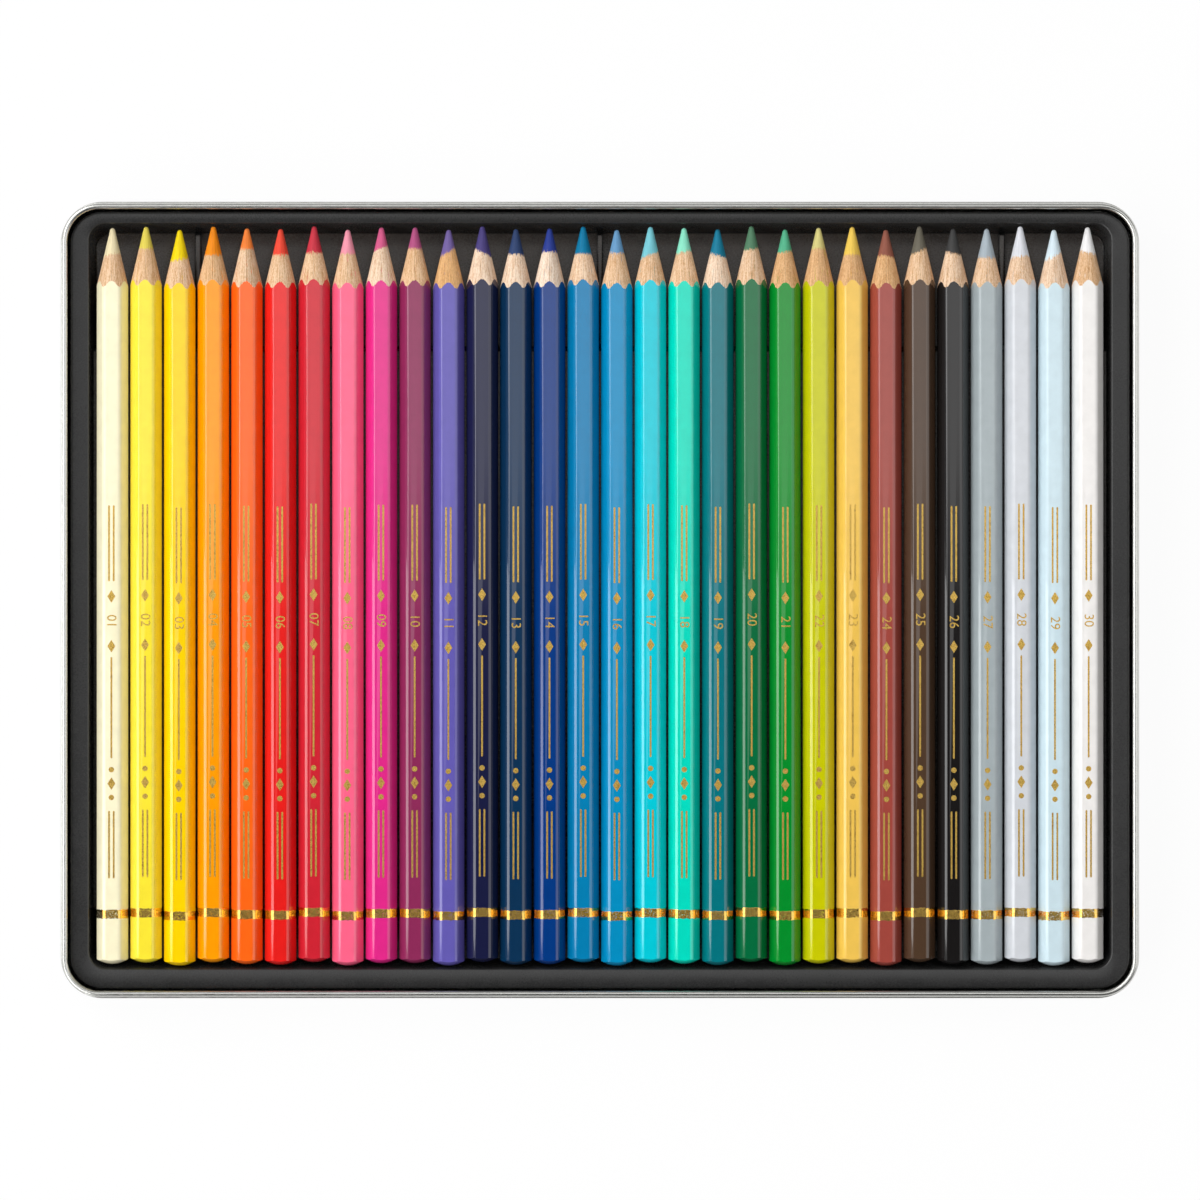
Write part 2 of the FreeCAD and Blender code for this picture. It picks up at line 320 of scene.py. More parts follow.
def pull(x=0.0, y=0.0, z=0.0):
    """Extrudes the selection by a distance."""
    bpy.ops.mesh.extrude_region_move(TRANSFORM_OT_translate={"value": (x, y, z)})


def sink(piece, depth, top):
    """Pulls a whole sheet down into an open box."""
    edit_all(piece)
    pull(z=-depth)
    edit(piece, "faces", lambda face: face.calc_center_bounds().z > top - NEAR)
    bpy.ops.mesh.delete(type="ONLY_FACE")
    only(piece)


def resize(factors, centre):
    """Scales the selection about a point."""
    bpy.ops.transform.resize(value=factors, center_override=centre)


def modify(piece, kind, **values):
    """Adds a modifier, sets it and applies it."""
    only(piece)
    modifier = piece.modifiers.new(kind.title(), kind)
    for name, value in values.items():
        setattr(modifier, name, value)
    bpy.ops.object.modifier_apply(modifier=modifier.name)


def joined(*pieces):
    """One object from several, under the first one's name."""
    only(*pieces)
    bpy.ops.object.join()
    return pieces[0]


def smooth(piece, degrees):
    """Smooth shading, with edges kept where the surface turns sharply."""
    only(piece)
    bpy.ops.object.shade_smooth_by_angle(angle=math.radians(degrees))


def outwards(piece):
    """Merges doubles and turns every face outwards."""
    edit_all(piece)
    bpy.ops.mesh.remove_doubles(threshold=0.001 * MM)
    bpy.ops.mesh.normals_make_consistent(inside=False)
    only(piece)


def handed_over(piece, body, material, node=None):
    """Finishes a piece: its material, the body that carries it and the node it stands for."""
    piece.data.materials.clear()
    piece.data.materials.append(material)
    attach(piece, body)
    if node:
        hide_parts(node)
    return piece


def rounded_sheet(name, low, high, corner, height):
    """A level face with round corners."""
    only()
    middle = (low + high) / 2
    bpy.ops.mesh.primitive_plane_add(size=1, location=(middle.x, middle.y, height))
    sheet = bpy.context.object
    sheet.scale = (high.x - low.x, high.y - low.y, 1)
    sheet = named(name)
    edit_all(sheet, "verts")
    round_off(corner, CORNER_STEPS, "VERTICES")
    only(sheet)
    return sheet


def rolled_edge(name, low, high, corner, radius):
    """A round wire that runs along the top edge of a rounded box, just inside its outline."""
    inset = Vector((radius, radius, 0))
    ring = rounded_sheet(name, low + inset, high - inset, corner - radius, high.z - radius)
    edit_all(ring)
    bpy.ops.mesh.delete(type="ONLY_FACE")
    only(ring)
    bpy.ops.object.convert(target="CURVE")
    ring = bpy.context.object
    ring.data.bevel_depth = radius
    ring.data.bevel_resolution = 4
    bpy.ops.object.convert(target="MESH")
    return bpy.context.object


def drawn_pan(name, low, high, corner, bend, top, sheet):
    """A shallow pan drawn from sheet metal, open at the top."""
    pan = rounded_sheet(name, low, high, corner, top)
    sink(pan, top - low.z, top)
    edit(pan, "edges", lambda edge: all(abs(vertex.co.z - low.z) < NEAR for vertex in edge.verts))
    round_off(bend, 6)
    modify(pan, "SOLIDIFY", thickness=sheet, offset=1.0)
    return pan


def slip_lid(sizes):
    """The upturned lid: a drawn pan whose skirt ends in a hem folded inwards."""
    low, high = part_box("lid")
    fold = sizes.sheet
    top = high.z - fold
    pan = drawn_pan("slip_lid", low, high, sizes.lid_corner, sizes.lid_bend, top, sizes.sheet)
    inset = Vector((fold, fold, 0))
    hem = rounded_sheet("lid_hem", low + inset, high - inset, sizes.lid_corner - fold, top)
    foot = high.z - sizes.lid_hem
    sink(hem, top - foot, top)
    edit(hem, "faces", lambda face: abs(face.normal.z) > LEVEL)
    bpy.ops.mesh.delete(type="ONLY_FACE")
    modify(hem, "SOLIDIFY", thickness=sizes.sheet, offset=1.0)
    lid = joined(pan, hem, rolled_edge("lid_fold", low, high, sizes.lid_corner, fold))
    smooth(lid, SMOOTH_DEGREES)
    return lid


def tin_pan(sizes):
    """The tin: a drawn pan with a rim rolled inwards."""
    low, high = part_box("tin_base")
    roll = sizes.rim_roll / 2
    pan = drawn_pan("tin", low, high, sizes.tin_corner, sizes.tin_bend, high.z - roll, sizes.sheet)
    tin = joined(pan, rolled_edge("rim", low, high, sizes.tin_corner, roll))
    smooth(tin, SMOOTH_DEGREES)
    return tin


def trough(tray, sizes, floor_height, depth, start, end):
    """Sinks a part of the tray's floor between two places along the pencils."""

    def lies_between(face):
        middle = face.calc_center_bounds()
        level = abs(middle.z - floor_height) < NEAR and face.normal.z > LEVEL
        return level and start < middle.y < end

    edit(tray, "faces", lies_between)
    mesh = bmesh.from_edit_mesh(tray.data)
    chosen = [vertex.co for face in mesh.faces if face.select for vertex in face.verts]
    left, right = min(place.x for place in chosen), max(place.x for place in chosen)
    front, back = min(place.y for place in chosen), max(place.y for place in chosen)
    pull(z=-depth)
    shrink_x = 1 - 2 * depth * math.tan(sizes.side_draft) / (right - left)
    shrink_y = 1 - 2 * depth * math.tan(sizes.end_draft) / (back - front)
    resize((shrink_x, shrink_y, 1), ((left + right) / 2, (front + back) / 2, floor_height - depth))
    only(tray)


def tray_rib(sizes, number, low, middle, start, end):
    """One low rib across the trough under the points, with sloping ends and softened edges."""
    rib_root = low.z + sizes.sheet / 2
    height = sizes.rib_height + sizes.sheet / 2
    place = (middle + number * sizes.rib_spacing, (start + end) / 2, rib_root + height / 2)
    only()
    bpy.ops.mesh.primitive_cube_add(size=1, location=place)
    bpy.context.object.scale = (sizes.rib_width, end - start, height)
    rib = named(f"tray_rib_{number + 2}")
    top = rib_root + height
    edit(rib, "faces", lambda face: face.normal.z > LEVEL)
    spread = 2 * height * math.tan(sizes.end_draft)
    resize((1, (end - start) / (end - start + spread), 1), (0, (start + end) / 2, top))
    edit(rib, "edges", lambda edge: all(vertex.co.z > top - NEAR for vertex in edge.verts))
    round_off(sizes.lip, 3)
    only(rib)
    return rib


def bend_flange(tray, sizes, well_low, well_high):
    """Bends the flange's outer edge down in a quarter round."""

    def on_outline(edge):
        place = (edge.verts[0].co + edge.verts[1].co) / 2
        level = abs(edge.verts[0].co.z - edge.verts[1].co.z) < NEAR and place.z > well_high.z - NEAR
        beside = place.x < well_low.x - sizes.lip or place.x > well_high.x + sizes.lip
        past_end = place.y < well_low.y - sizes.lip or place.y > well_high.y + sizes.lip
        return level and (beside or past_end) and edge.calc_face_angle(0.0) > 1.0

    edit(tray, "edges", lambda edge: edge.is_boundary)
    pull(z=-1.02 * sizes.flange_bend)
    edit(tray, "edges", on_outline)
    round_off(sizes.flange_bend, 6)
    only(tray)


def tray_sheet(sizes, low, high, well_low, well_high):
    """The tray's flange and well as one open sheet, before its troughs are sunk."""
    tray = rounded_sheet("tray", well_low, well_high, sizes.well_corner, high.z)
    sink(tray, sizes.platform_drop, high.z)
    edit(tray, "faces", lambda face: face.normal.z > LEVEL)
    size = well_high - well_low
    slant_x = 1 - 2 * sizes.platform_drop * math.tan(sizes.side_draft) / size.x
    slant_y = 1 - 2 * sizes.platform_drop * math.tan(sizes.end_draft) / size.y
    middle = (well_low + well_high) / 2
    resize((slant_x, slant_y, 1), (middle.x, middle.y, high.z - sizes.platform_drop))
    raised = high.z - low.z
    flange = rounded_sheet("flange", low, high, sizes.flange_corner, high.z + raised)
    edit_all(flange)
    bpy.ops.mesh.delete(type="ONLY_FACE")
    tray = joined(tray, flange)
    edit(tray, "edges", lambda edge: edge.is_boundary or edge.is_wire)
    bpy.ops.mesh.bridge_edge_loops()
    edit(tray, "verts", lambda vertex: vertex.co.z > high.z + raised / 2)
    bpy.ops.transform.translate(value=(0, 0, -raised))
    bend_flange(tray, sizes, well_low, well_high)
    return tray


def moulded_tray(sizes):
    """The tray: flange, well, raised platform, a trough at either end and three ribs."""
    low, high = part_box("pencil_tray")
    well_low = low + Vector((sizes.side_flange, sizes.butt_flange, 0))
    well_high = high - Vector((sizes.side_flange, sizes.point_flange, 0))
    tray = tray_sheet(sizes, low, high, well_low, well_high)
    middle = (well_low + well_high) / 2
    platform = high.z - sizes.platform_drop
    platform_end = well_high.y - sizes.point_trough
    platform_start = well_low.y + sizes.butt_trough
    for cut in (platform_end, platform_start):
        edit(tray, "faces", lambda face: face.calc_center_bounds().z < platform + NEAR)
        bpy.ops.mesh.bisect(plane_co=(0, cut, 0), plane_no=(0, 1, 0), use_fill=False)
    only(tray)
    depth = platform - low.z - sizes.sheet
    trough(tray, sizes, platform, depth, platform_end, well_high.y)
    trough(tray, sizes, platform, depth, well_low.y, platform_start)
    outwards_up(tray)
    modify(tray, "BEVEL", width=sizes.lip, segments=3, limit_method="ANGLE", angle_limit=math.radians(40))
    modify(tray, "SOLIDIFY", thickness=sizes.sheet, offset=-1.0)
    slope = math.tan(sizes.end_draft)
    rib_end = well_high.y - (sizes.platform_drop + depth) * slope
    rib_start = platform_end + depth * slope
    ribs = [tray_rib(sizes, number, low, middle.x, rib_start, rib_end) for number in (-1, 0, 1)]
    tray = joined(tray, *ribs)
    smooth(tray, SMOOTH_DEGREES)
    return tray


def outwards_up(tray):
    """Turns the faces of the tray's open sheet so that its top side is the outer one."""
    edit_all(tray)
    bpy.ops.mesh.normals_make_consistent(inside=False)
    mesh = bmesh.from_edit_mesh(tray.data)
    largest = max(mesh.faces, key=lambda face: face.calc_area())
    if largest.normal.z < 0:
        bpy.ops.mesh.flip_normals()
    only(tray)


def turned_form(name, stations):
    """A closed round form about the Y axis through rings given as (place along Y, radius)."""
    only()
    start, radius = stations[0]
    bpy.ops.mesh.primitive_circle_add(
        vertices=TURNED_SIDES, radius=radius, fill_type="NGON",
        location=(0, start, 0), rotation=(math.pi / 2, 0, 0),
    )
    form = named(name)
    edit_all(form)
    for place, reach in stations[1:]:
        pull(y=place - start)
        factor = reach / radius
        resize((factor, 1, factor), (0, place, 0))
        start, radius = place, reach
    outwards(form)
    return form


def sharpening_stations(sizes, pencil_length, across_edges):
    """The rings of a pencil's turned outline, from the domed butt end to the rounded tip."""
    widest = 1.12 * across_edges / 2
    dome = (across_edges ** 2 / 4 + sizes.butt_dome ** 2) / (2 * sizes.butt_dome)
    stations = []
    for step in range(1, DOME_RINGS + 1):
        radius = widest * step / DOME_RINGS
        stations.append((dome - math.sqrt(dome ** 2 - radius ** 2), radius))
    slope = math.tan(sizes.half_angle)
    apex = pencil_length + sizes.tip_radius / math.sin(sizes.half_angle) - sizes.tip_radius
    stations.append((apex - widest / slope, widest))
    lead_radius = sizes.lead_diameter / 2
    stations.append((apex - lead_radius / slope, lead_radius))
    tip_middle = pencil_length - sizes.tip_radius
    last_turn = math.radians(86)
    for step in range(TIP_RINGS + 1):
        angle = sizes.half_angle + (last_turn - sizes.half_angle) * step / TIP_RINGS
        place = tip_middle + sizes.tip_radius * math.sin(angle)
        stations.append((place, sizes.tip_radius * math.cos(angle)))
    return stations


def hexagonal_blank(sizes, across_flats, pencil_length):
    """A hexagonal bar along Y, lying on a flat, with rounded long edges."""
    only()
    radius = across_flats / 2 / math.cos(math.pi / 6)
    bpy.ops.mesh.primitive_cylinder_add(
        vertices=6, radius=radius, depth=pencil_length, location=(0, pencil_length / 2, 0),
        rotation=(math.pi / 2, math.pi / 6, 0),
    )
    blank = named("pencil_blank")
    edit(blank, "edges", lambda edge: abs(edge.verts[0].co.y - edge.verts[1].co.y) > pencil_length / 2)
    offset = sizes.edge_radius * math.tan(math.pi / 6)
    round_off(offset, 6)
    only(blank)
    return blank


def sharpened_pencil(sizes, size):
    """One pencil about the Y axis, butt end at the origin: a hexagonal bar cut to its turned outline."""
    pencil = hexagonal_blank(sizes, size.z, size.y)
    form = turned_form("sharpening", sharpening_stations(sizes, size.y, size.x))
    modify(pencil, "BOOLEAN", operation="INTERSECT", object=form, solver="EXACT")
    bpy.data.objects.remove(form)
    outwards(pencil)
    smooth(pencil, 14)
    field = pencil.data.attributes.new(PENCIL_FIELD, "FLOAT_VECTOR", "POINT")
    for vertex in pencil.data.vertices:
        place = vertex.co / MM
        field.data[vertex.index].vector = (place.x, size.y / MM - place.y, place.z)
    return pencil


def moved_copy(original, name, shift):
    """A copy with its own mesh, its place in the mesh."""
    piece = original.copy()
    piece.data = original.data.copy()
    piece.name = name
    piece.data.name = name
    piece.data.transform(Matrix.Translation(shift))
    bpy.context.collection.objects.link(piece)
    return piece


def flat_mark(name, corners, radius, across, along, middle):
    """One small flat foil shape with the given number of corners."""
    only()
    bpy.ops.mesh.primitive_circle_add(vertices=corners, radius=radius, fill_type="NGON", location=middle)
    bpy.context.object.scale = (across, along, 1)
    return named(name)


def foil_rule(sizes, name, middle, along):
    """One fine foil line with softened corners."""
    only()
    bpy.ops.mesh.primitive_plane_add(size=1, location=middle)
    bpy.context.object.scale = (sizes.rule_width, along, 1)
    rule = named(name)
    edit_all(rule, "verts")
    rounding = 0.4 * sizes.rule_width
    round_off(rounding, 3, "VERTICES")
    return rule


def foil_shapes(sizes, top, pencil_length):
    """All the foil shapes but the number, as flat faces on one pencil's top."""
    shapes = []
    for number, (kind, from_point, along) in enumerate(FOIL_MARKS):
        place = pencil_length - from_point * MM
        name = f"foil_{kind}_{number}"
        reach = along * MM / 2
        if kind == "diamond":
            shapes.append(flat_mark(name, 4, reach, 0.62, 1, (0, place, top)))
        elif kind == "dot":
            shapes.append(flat_mark(name, 14, reach, 1, 1, (0, place, top)))
        elif kind in ("rule", "rules"):
            aside = 0.55 * MM
            sides = (0,) if kind == "rule" else (-aside, aside)
            for side in sides:
                shapes.append(foil_rule(sizes, name, (side, place, top), 2 * reach))
    return joined(*shapes)


def foil_number(sizes, number, top, pencil_length):
    """A pencil's plain number as flat faces, read from the point towards the butt end."""
    from_point = [middle for kind, middle, along in FOIL_MARKS if kind == "number"][0]
    only()
    place = (0, pencil_length - from_point * MM, top)
    bpy.ops.object.text_add(location=place, rotation=(0, 0, -math.pi / 2))
    text = bpy.context.object
    text.data.body = f"{number:02d}"
    text.data.size = sizes.figure_height
    text.data.align_x = "CENTER"
    text.data.align_y = "CENTER"
    text.data.resolution_u = 4
    bpy.ops.object.convert(target="MESH")
    return named("foil_number")


# Finishes


def feed(tree, socket, value):
    """Links a socket to a node's output, or sets it to a plain value."""
    if isinstance(value, bpy.types.NodeSocket):
        tree.links.new(value, socket)
    else:
        socket.default_value = value


def add(tree, kind, inputs=None, **settings):
    """A node with its settings and inputs."""
    node = tree.nodes.new("ShaderNode" + kind)
    for name, value in settings.items():
        setattr(node, name, value)
    for socket, value in (inputs or {}).items():
        feed(tree, node.inputs[socket], value)
    return node


def calc(tree, operation, *values):
    """One sum on plain values."""
    node = add(tree, "Math", operation=operation)
    for socket, value in zip(node.inputs, values):
        feed(tree, socket, value)
    return node.outputs[0]


def times(tree, first, second):
    """Two values multiplied."""
    return calc(tree, "MULTIPLY", first, second)


def plus(tree, first, second):
    """Two values added."""
    return calc(tree, "ADD", first, second)


def vector_calc(tree, operation, first, second=None, scale=None):
    """One sum on vectors."""
    node = add(tree, "VectorMath", {0: first}, operation=operation)
    if second is not None:
        feed(tree, node.inputs[1], second)
    if scale is not None:
        feed(tree, node.inputs["Scale"], scale)
    return node.outputs["Value" if operation == "LENGTH" else "Vector"]


def blend_values(tree, share, first, second):
    """A value between two others."""
    return add(tree, "Mix", {0: share, 2: first, 3: second}, data_type="FLOAT").outputs[0]


def blend_colours(tree, share, first, second):
    """A colour between two others."""
    return add(tree, "Mix", {0: share, 6: first, 7: second}, data_type="RGBA").outputs[2]


def noise(tree, vector, scale, detail=2.0, roughness=0.5):
    """Soft random values from 0 to 1."""
    inputs = {"Vector": vector, "Scale": scale, "Detail": detail, "Roughness": roughness}
    return add(tree, "TexNoise", inputs).outputs[0]


def spread(tree, value, low, high, first=0.0, second=1.0):
    """A value carried from one range to another, and kept inside it."""
    inputs = {0: value, 1: low, 2: high, 3: first, 4: second}
    return add(tree, "MapRange", inputs).outputs[0]


def vary(tree, value, first=0.0, second=1.0):
    """Soft noise, most of which lies between 0.3 and 0.7, carried to a range."""
    return spread(tree, value, 0.3, 0.7, first, second)


def opaque(shades):
    """A colour with its fourth value."""
    return (*shades, 1.0)


def effect(name, inputs, outputs):
    """An empty node group: the group, its incoming sockets and its outgoing sockets."""
    group = bpy.data.node_groups.new(name, "ShaderNodeTree")
    for title, kind in inputs.items():
        group.interface.new_socket(name=title, in_out="INPUT", socket_type="NodeSocket" + kind)
    for title, kind in outputs.items():
        group.interface.new_socket(name=title, in_out="OUTPUT", socket_type="NodeSocket" + kind)
    return group, group.nodes.new("NodeGroupInput").outputs, group.nodes.new("NodeGroupOutput").inputs


def placed(tree, group, inputs):
    """A node group in a material, with its own values."""
    node = tree.nodes.new("ShaderNodeGroup")
    node.node_tree = group
    for socket, value in inputs.items():
        feed(tree, node.inputs[socket], value)
    return node.outputs


def kept_group(name, make):
    """A node group by name, made once."""
    return bpy.data.node_groups.get(name) or make(name)


def pencil_zones(name):
    """Where a pencil is lead, bare wood or foil ring, from its place in millimetres from axis and point."""
    group, given, out = effect(
        name,
        {"Place": "Vector", "Lead Shift": "Vector", "Lead Radius": "Float", "Cone Slope": "Float",
         "Cone Start": "Float", "Ring Place": "Float", "Ring Half Width": "Float", "Seed": "Float"},
        {"Lead": "Float", "Wood": "Float", "Ring": "Float", "Fibre": "Float", "Speckle": "Float"},
    )
    parts = add(group, "SeparateXYZ", {0: given["Place"]}).outputs
    across = add(group, "CombineXYZ", {"X": parts["X"], "Z": parts["Z"]}).outputs[0]
    radius = vector_calc(group, "LENGTH", across)
    direction = vector_calc(group, "NORMALIZE", across)
    drift = times(group, parts["Y"], 0.07)
    start = add(group, "CombineXYZ", {"X": given["Seed"], "Y": drift, "Z": given["Seed"]}).outputs[0]
    fibre_place = vector_calc(group, "MULTIPLY_ADD", direction, (5, 5, 5))
    feed(group, fibre_place.node.inputs[2], start)
    fibre = noise(group, fibre_place, 3.2, 3.0, 0.6)
    speckle_place = vector_calc(group, "ADD", given["Place"], start)
    speckle = noise(group, speckle_place, 1.7, 3.0, 0.6)
    from_apex = plus(group, parts["Y"], given["Cone Start"])
    cone_radius = times(group, from_apex, given["Cone Slope"])
    ragged = vary(group, fibre, 0.0, 0.07)
    inside_cone = calc(group, "SUBTRACT", cone_radius, radius)
    wood = calc(group, "LESS_THAN", inside_cone, ragged)
    off_middle = vector_calc(group, "LENGTH", vector_calc(group, "SUBTRACT", across, given["Lead Shift"]))
    jag = vary(group, fibre, -0.13, 0.13)
    jag = plus(group, jag, vary(group, speckle, -0.07, 0.07))
    within = calc(group, "LESS_THAN", off_middle, plus(group, given["Lead Radius"], jag))
    longest_point = 20.0
    near_point = calc(group, "LESS_THAN", parts["Y"], longest_point)
    lead = times(group, within, near_point)
    from_ring = calc(group, "ABSOLUTE", calc(group, "SUBTRACT", parts["Y"], given["Ring Place"]))
    edge = plus(group, given["Ring Half Width"], vary(group, speckle, -0.14, 0.14))
    covered = calc(group, "GREATER_THAN", noise(group, speckle_place, 4.5, 2.0), 0.36)
    ring = times(group, calc(group, "LESS_THAN", from_ring, edge), covered)
    zones = {"Lead": lead, "Wood": wood, "Ring": ring, "Fibre": fibre, "Speckle": speckle}
    for title, value in zones.items():
        feed(group, out[title], value)
    return group


def cedar_grain(name):
    """Pencil wood cut by a sharpener: fine fibres along the pencil, pores and two glued slats."""
    group, given, out = effect(
        name,
        {"Place": "Vector", "Fibre": "Float", "Light": "Color", "Deep": "Color",
         "Slat Tone": "Float", "Seed": "Float"},
        {"Color": "Color", "Height": "Float"},
    )
    shift = add(group, "CombineXYZ", {"X": given["Seed"], "Y": given["Seed"]}).outputs[0]
    fine_place = vector_calc(group, "MULTIPLY_ADD", given["Place"], (7, 0.8, 7))
    feed(group, fine_place.node.inputs[2], shift)
    fine = noise(group, fine_place, 1.0, 3.0, 0.65)
    pore_place = vector_calc(group, "MULTIPLY_ADD", given["Place"], (14, 1.6, 14))
    feed(group, pore_place.node.inputs[2], shift)
    pores = spread(group, noise(group, pore_place, 1.0, 1.0), 0.62, 0.72)
    coarse_share = times(group, given["Fibre"], 0.55)
    mixed = plus(group, coarse_share, times(group, fine, 0.45))
    share = spread(group, mixed, 0.42, 0.56)
    wood = blend_colours(group, share, given["Deep"], given["Light"])
    pore_colour = opaque((0.24, 0.12, 0.06))
    wood = blend_colours(group, times(group, pores, 0.6), wood, pore_colour)
    side = add(group, "SeparateXYZ", {0: given["Place"]}).outputs["X"]
    right = spread(group, side, -0.04, 0.04)
    tone = blend_values(group, right, 1.0, given["Slat Tone"])
    toned = vector_calc(group, "SCALE", wood, scale=tone)
    joint = calc(group, "LESS_THAN", calc(group, "ABSOLUTE", side), 0.045)
    glue_colour = opaque((0.2, 0.1, 0.05))
    glued = blend_colours(group, times(group, joint, 0.4), toned, glue_colour)
    feed(group, out["Color"], glued)
    feed(group, out["Height"], calc(group, "SUBTRACT", share, pores))
    return group


def foil_crinkle(name):
    """Hot-stamped foil: mottled, finely crinkled, thinner in places."""
    group, given, out = effect(
        name,
        {"Place": "Vector", "Bright": "Color", "Deep": "Color"},
        {"Color": "Color", "Roughness": "Float", "Height": "Float"},
    )
    broad = noise(group, given["Place"], 1.6, 3.0, 0.6)
    fine = noise(group, given["Place"], 7.0, 2.0)
    mottle = plus(group, times(group, broad, 0.6), times(group, fine, 0.4))
    share = spread(group, mottle, 0.3, 0.5)
    feed(group, out["Color"], blend_colours(group, share, given["Deep"], given["Bright"]))
    feed(group, out["Roughness"], vary(group, fine, 0.22, 0.34))
    feed(group, out["Height"], fine)
    return group


def handling_wear(name):
    """Fine scratches that run every way, and soft smudges from handling."""
    group, given, out = effect(
        name,
        {"Place": "Vector", "Size": "Float"},
        {"Scratches": "Float", "Smudge": "Float"},
    )
    scaled = vector_calc(group, "SCALE", given["Place"], scale=given["Size"])
    scratches = 0.0
    for number, degrees in enumerate((12, 71, -38)):
        turned = add(
            group, "Mapping",
            {"Vector": scaled, "Rotation": (0, 0, math.radians(degrees)), "Scale": (0.12, 6.0, 1.0)},
        ).outputs[0]
        lines = noise(group, turned, 1.0 + 0.3 * number, 2.0)
        scratches = calc(group, "MAXIMUM", scratches, spread(group, lines, 0.66, 0.74))
    feed(group, out["Scratches"], scratches)
    feed(group, out["Smudge"], spread(group, noise(group, scaled, 0.12, 3.0, 0.6), 0.35, 0.65))
    return group


def new_material(name):
    """A material, its nodes and its shader."""
    material = bpy.data.materials.new(name)
    material.use_nodes = True
    return material, material.node_tree, material.node_tree.nodes["Principled BSDF"]


def object_place(tree):
    """A piece's own coordinates in millimetres."""
    coordinates = add(tree, "TexCoord").outputs["Object"]
    return vector_calc(tree, "SCALE", coordinates, scale=1 / MM)


def bump(tree, shader, height, strength, distance):
    """Relief on a surface from a height."""
    inputs = {"Height": height, "Strength": strength, "Distance": distance}
    tree.links.new(add(tree, "Bump", inputs).outputs[0], shader.inputs["Normal"])


def tinplate(finishes):
    """Bare rolled tinplate: a soft satin with fine scratches and smudges."""
    name = "bare_tinplate"
    if name in bpy.data.materials:
        return bpy.data.materials[name]
    material, tree, shader = new_material(name)
    place = object_place(tree)
    wear = placed(tree, kept_group("handling_wear", handling_wear), {"Place": place, "Size": 1.4})
    rolled = add(tree, "Mapping", {"Vector": place, "Scale": (0.25, 9.0, 9.0)}).outputs[0]
    grain = noise(tree, rolled, 1.0, 3.0, 0.6)
    bright = opaque(finishes.tinplate)
    dull = opaque([0.72 * shade for shade in finishes.tinplate])
    colour = blend_colours(tree, vary(tree, grain, 0.0, 0.4), bright, dull)
    colour = blend_colours(tree, times(tree, wear["Scratches"], 0.12), colour, dull)
    feed(tree, shader.inputs["Base Color"], colour)
    rough = vary(tree, grain, 0.22, 0.3)
    rough = plus(tree, rough, times(tree, wear["Smudge"], 0.03))
    rough = plus(tree, rough, times(tree, wear["Scratches"], 0.06))
    feed(tree, shader.inputs["Roughness"], rough)
    shader.inputs["Metallic"].default_value = 1.0
    relief = calc(tree, "SUBTRACT", times(tree, grain, 0.3), wear["Scratches"])
    bump(tree, shader, relief, 0.01, 0.02 * MM)
    return material


def dust_and_painted_light_share(tree, place, top):
    """How thick the pale colour lies, partly pencil dust and partly painted light on the shaded floor: deep
    in the tray on level faces, in soft patches, most by the points.
    """
    facing_up = add(tree, "SeparateXYZ", {0: add(tree, "TexCoord").outputs["Normal"]}).outputs["Z"]
    parts = add(tree, "SeparateXYZ", {0: place}).outputs
    # Painted light: the further the floor lies below the flange, the more of the pale colour it gets, which
    # brightens the shaded hollows.
    sunk = spread(tree, calc(tree, "SUBTRACT", top / MM, parts["Z"]), 1.0, 4.0)
    by_points = spread(tree, parts["Y"], -60.0, 40.0)
    patches = vary(tree, noise(tree, place, 0.4, 3.0, 0.6), 0.6, 1.0)
    share = times(tree, times(tree, sunk, patches), by_points)
    return times(tree, share, spread(tree, facing_up, 0.8, 0.97))


def tray_plastic(finishes, top):
    """Black moulded plastic: a fine matt grain, a few handling marks, and in the bottom a pale colour that
    is partly pencil dust and partly painted light.
    """
    material, tree, shader = new_material("moulded_plastic")
    place = object_place(tree)
    wear = placed(tree, kept_group("handling_wear", handling_wear), {"Place": place, "Size": 1.1})
    grain = noise(tree, place, 3.2, 2.0, 0.6)
    cloud = noise(tree, place, 0.05, 3.0)
    deep = opaque([0.8 * shade for shade in finishes.tray])
    worn = opaque([1.7 * shade for shade in finishes.tray])
    colour = blend_colours(tree, vary(tree, cloud), deep, opaque(finishes.tray))
    colour = blend_colours(tree, times(tree, wear["Scratches"], 0.5), colour, worn)
    # Painted light, partly pencil dust: a pale warm colour on the deep, shaded floor of the well and
    # troughs.
    dust_and_painted_light = times(tree, dust_and_painted_light_share(tree, place, top), 0.3)
    feed(tree, shader.inputs["Base Color"], blend_colours(tree, dust_and_painted_light, colour, opaque(finishes.dust_and_painted_light)))
    polished = times(tree, wear["Smudge"], -0.06)
    rough = vary(tree, grain, 0.26, 0.36)
    feed(tree, shader.inputs["Roughness"], plus(tree, rough, polished))
    shader.inputs["Specular IOR Level"].default_value = 0.5
    bump(tree, shader, grain, 0.12, 0.05 * MM)
    return material


def gold_foil(tree, finishes, place):
    """The foil effect in a material, in the finishes' two golds."""
    inputs = {"Place": place, "Bright": opaque(finishes.foil), "Deep": opaque(finishes.foil_deep)}
    return placed(tree, kept_group("foil_crinkle", foil_crinkle), inputs)


def foil_finish(finishes):
    """The gold foil of the marks."""
    material, tree, shader = new_material("stamped_foil")
    foil = gold_foil(tree, finishes, object_place(tree))
    feed(tree, shader.inputs["Base Color"], foil["Color"])
    feed(tree, shader.inputs["Roughness"], foil["Roughness"])
    shader.inputs["Metallic"].default_value = 1.0
    bump(tree, shader, foil["Height"], 0.2, 0.02 * MM)
    return material


def pencil_seed(number):
    """Where one pencil's own random pattern starts."""
    return 11.3 * number + 4.7


